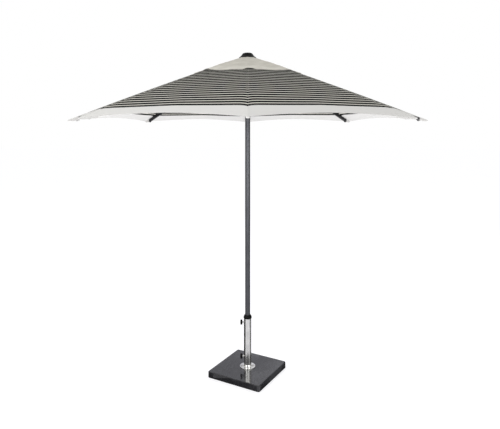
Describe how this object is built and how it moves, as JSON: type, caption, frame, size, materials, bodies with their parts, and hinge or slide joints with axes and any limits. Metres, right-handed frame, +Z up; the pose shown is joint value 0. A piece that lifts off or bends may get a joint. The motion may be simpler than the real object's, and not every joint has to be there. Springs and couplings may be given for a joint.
{
  "type": "garden parasol with base",
  "caption": "Octagonal striped garden parasol with a vented crown, folding ribs on a sliding runner, and a granite and steel base with clamp knobs.",
  "frame": {"origin": "on the floor under the pole's axis, at the underside of the rubber feet", "axes": "+Z up along the pole, the clamp knobs point along -X, rib 1 points along -Y"},
  "size_m": [2.7, 2.7, 2.3949],
  "materials": {
    "granite": "polished",
    "rubber": "matte",
    "stainless": "satin",
    "bolt_steel": "satin",
    "nylon": "matte",
    "black_plastic": "satin",
    "pole_metal": "satin",
    "rib_metal": "satin",
    "canopy_fabric": "matte"
  },
  "bodies": {
    "base": {"granite_slab": "granite", "rubber_feet": "rubber", "base_flange": "stainless", "flange_bolts": "bolt_steel", "flange_nuts": "bolt_steel", "base_tube": "stainless", "centring_ring": "nylon"},
    "upper_pad": {"upper_clamp_pad": "nylon"},
    "upper_knob": {"upper_clamp_stud": "bolt_steel", "upper_clamp_knob": "black_plastic"},
    "lower_pad": {"lower_clamp_pad": "nylon"},
    "lower_knob": {"lower_clamp_stud": "bolt_steel", "lower_clamp_knob": "black_plastic"},
    "collar": {"reducer_collar": "black_plastic"},
    "pole": {"pole_tube": "pole_metal", "pole_foot_plug": "nylon", "top_hub": "black_plastic", "hub_pins": "bolt_steel", "finial_cap": "black_plastic", "spring_catch": "bolt_steel"},
    "runner": {"runner_sleeve": "black_plastic"},
    "rib_arm_1": {"rib_1": "rib_metal", "rib_fittings_1": "nylon", "canopy_gore_1": "canopy_fabric"},
    "strut_arm_1": {"strut_1": "rib_metal"},
    "rib_arm_2": {"rib_2": "rib_metal", "rib_fittings_2": "nylon", "canopy_gore_2": "canopy_fabric"},
    "strut_arm_2": {"strut_2": "rib_metal"},
    "rib_arm_3": {"rib_3": "rib_metal", "rib_fittings_3": "nylon", "canopy_gore_3": "canopy_fabric"},
    "strut_arm_3": {"strut_3": "rib_metal"},
    "rib_arm_4": {"rib_4": "rib_metal", "rib_fittings_4": "nylon", "canopy_gore_4": "canopy_fabric"},
    "strut_arm_4": {"strut_4": "rib_metal"},
    "rib_arm_5": {"rib_5": "rib_metal", "rib_fittings_5": "nylon", "canopy_gore_5": "canopy_fabric"},
    "strut_arm_5": {"strut_5": "rib_metal"},
    "rib_arm_6": {"rib_6": "rib_metal", "rib_fittings_6": "nylon", "canopy_gore_6": "canopy_fabric"},
    "strut_arm_6": {"strut_6": "rib_metal"},
    "rib_arm_7": {"rib_7": "rib_metal", "rib_fittings_7": "nylon", "canopy_gore_7": "canopy_fabric"},
    "strut_arm_7": {"strut_7": "rib_metal"},
    "rib_arm_8": {"rib_8": "rib_metal", "rib_fittings_8": "nylon", "canopy_gore_8": "canopy_fabric"},
    "strut_arm_8": {"strut_8": "rib_metal"}
  },
  "joints": [
    {"name": "upper_pad_slide", "type": "slide", "parent": "base", "child": "upper_pad", "axis": [-1, 0, 0], "range_m": [0, 0.0015]},
    {"name": "upper_knob_turn", "type": "hinge", "parent": "upper_pad", "child": "upper_knob", "pos_m": [-0.045, 0, 0.378], "axis": [-1, 0, 0], "range_deg": [0, 540]},
    {"name": "lower_pad_slide", "type": "slide", "parent": "base", "child": "lower_pad", "axis": [-1, 0, 0], "range_m": [0, 0.0015]},
    {"name": "lower_knob_turn", "type": "hinge", "parent": "lower_pad", "child": "lower_knob", "pos_m": [-0.045, 0, 0.124], "axis": [-1, 0, 0], "range_deg": [0, 540]},
    {"name": "collar_turn", "type": "hinge", "parent": "base", "child": "collar", "pos_m": [0, 0, 0.408], "axis": [0, 0, 1], "continuous": true},
    {"name": "pole_lift", "type": "slide", "parent": "collar", "child": "pole", "axis": [0, 0, 1], "range_m": [0, 0.3]},
    {"name": "runner_slide", "type": "slide", "parent": "pole", "child": "runner", "axis": [0, 0, -1], "range_m": [0, 0.60049]},
    {"name": "rib_fold_1", "type": "hinge", "parent": "pole", "child": "rib_arm_1", "pos_m": [0, -0.038, 2.3477], "axis": [1, 0, 0], "range_deg": [0, 65.5], "deforming": ["canopy_gore_1", "spring_catch"]},
    {"name": "strut_fold_1", "type": "hinge", "parent": "rib_arm_1", "child": "strut_arm_1", "pos_m": [0, -0.48222, 2.16997], "axis": [-1, 0, 0], "range_deg": [0, 131]},
    {"name": "rib_fold_2", "type": "hinge", "parent": "pole", "child": "rib_arm_2", "pos_m": [0.02687, -0.02687, 2.3477], "axis": [0.7071, 0.7071, 0], "range_deg": [0, 65.5], "deforming": ["canopy_gore_2"]},
    {"name": "strut_fold_2", "type": "hinge", "parent": "rib_arm_2", "child": "strut_arm_2", "pos_m": [0.34098, -0.34098, 2.16997], "axis": [-0.7071, -0.7071, 0], "range_deg": [0, 131]},
    {"name": "rib_fold_3", "type": "hinge", "parent": "pole", "child": "rib_arm_3", "pos_m": [0.038, 0, 2.3477], "axis": [0, 1, 0], "range_deg": [0, 65.5], "deforming": ["canopy_gore_3"]},
    {"name": "strut_fold_3", "type": "hinge", "parent": "rib_arm_3", "child": "strut_arm_3", "pos_m": [0.48222, 0, 2.16997], "axis": [0, -1, 0], "range_deg": [0, 131]},
    {"name": "rib_fold_4", "type": "hinge", "parent": "pole", "child": "rib_arm_4", "pos_m": [0.02687, 0.02687, 2.3477], "axis": [-0.7071, 0.7071, 0], "range_deg": [0, 65.5], "deforming": ["canopy_gore_4"]},
    {"name": "strut_fold_4", "type": "hinge", "parent": "rib_arm_4", "child": "strut_arm_4", "pos_m": [0.34098, 0.34098, 2.16997], "axis": [0.7071, -0.7071, 0], "range_deg": [0, 131]},
    {"name": "rib_fold_5", "type": "hinge", "parent": "pole", "child": "rib_arm_5", "pos_m": [0, 0.038, 2.3477], "axis": [-1, 0, 0], "range_deg": [0, 65.5], "deforming": ["canopy_gore_5"]},
    {"name": "strut_fold_5", "type": "hinge", "parent": "rib_arm_5", "child": "strut_arm_5", "pos_m": [0, 0.48222, 2.16997], "axis": [1, 0, 0], "range_deg": [0, 131]},
    {"name": "rib_fold_6", "type": "hinge", "parent": "pole", "child": "rib_arm_6", "pos_m": [-0.02687, 0.02687, 2.3477], "axis": [-0.7071, -0.7071, 0], "range_deg": [0, 65.5], "deforming": ["canopy_gore_6"]},
    {"name": "strut_fold_6", "type": "hinge", "parent": "rib_arm_6", "child": "strut_arm_6", "pos_m": [-0.34098, 0.34098, 2.16997], "axis": [0.7071, 0.7071, 0], "range_deg": [0, 131]},
    {"name": "rib_fold_7", "type": "hinge", "parent": "pole", "child": "rib_arm_7", "pos_m": [-0.038, 0, 2.3477], "axis": [0, -1, 0], "range_deg": [0, 65.5], "deforming": ["canopy_gore_7"]},
    {"name": "strut_fold_7", "type": "hinge", "parent": "rib_arm_7", "child": "strut_arm_7", "pos_m": [-0.48222, 0, 2.16997], "axis": [0, 1, 0], "range_deg": [0, 131]},
    {"name": "rib_fold_8", "type": "hinge", "parent": "pole", "child": "rib_arm_8", "pos_m": [-0.02687, -0.02687, 2.3477], "axis": [0.7071, -0.7071, 0], "range_deg": [0, 65.5], "deforming": ["canopy_gore_8"]},
    {"name": "strut_fold_8", "type": "hinge", "parent": "rib_arm_8", "child": "strut_arm_8", "pos_m": [-0.34098, -0.34098, 2.16997], "axis": [-0.7071, 0.7071, 0], "range_deg": [0, 131]}
  ],
  "couplings": [
    {"joint": "upper_knob_turn", "follows": "upper_pad_slide", "rad_per_m": 6283.2},
    {"joint": "lower_knob_turn", "follows": "lower_pad_slide", "rad_per_m": 6283.2},
    {"joint": "runner_slide", "follows": "rib_fold_1", "m_per_rad": 0.52519},
    {"joint": "strut_fold_1", "follows": "rib_fold_1", "ratio": 2},
    {"joint": "rib_fold_2", "follows": "rib_fold_1", "ratio": 1},
    {"joint": "strut_fold_2", "follows": "rib_fold_1", "ratio": 2},
    {"joint": "rib_fold_3", "follows": "rib_fold_1", "ratio": 1},
    {"joint": "strut_fold_3", "follows": "rib_fold_1", "ratio": 2},
    {"joint": "rib_fold_4", "follows": "rib_fold_1", "ratio": 1},
    {"joint": "strut_fold_4", "follows": "rib_fold_1", "ratio": 2},
    {"joint": "rib_fold_5", "follows": "rib_fold_1", "ratio": 1},
    {"joint": "strut_fold_5", "follows": "rib_fold_1", "ratio": 2},
    {"joint": "rib_fold_6", "follows": "rib_fold_1", "ratio": 1},
    {"joint": "strut_fold_6", "follows": "rib_fold_1", "ratio": 2},
    {"joint": "rib_fold_7", "follows": "rib_fold_1", "ratio": 1},
    {"joint": "strut_fold_7", "follows": "rib_fold_1", "ratio": 2},
    {"joint": "rib_fold_8", "follows": "rib_fold_1", "ratio": 1},
    {"joint": "strut_fold_8", "follows": "rib_fold_1", "ratio": 2}
  ]
}
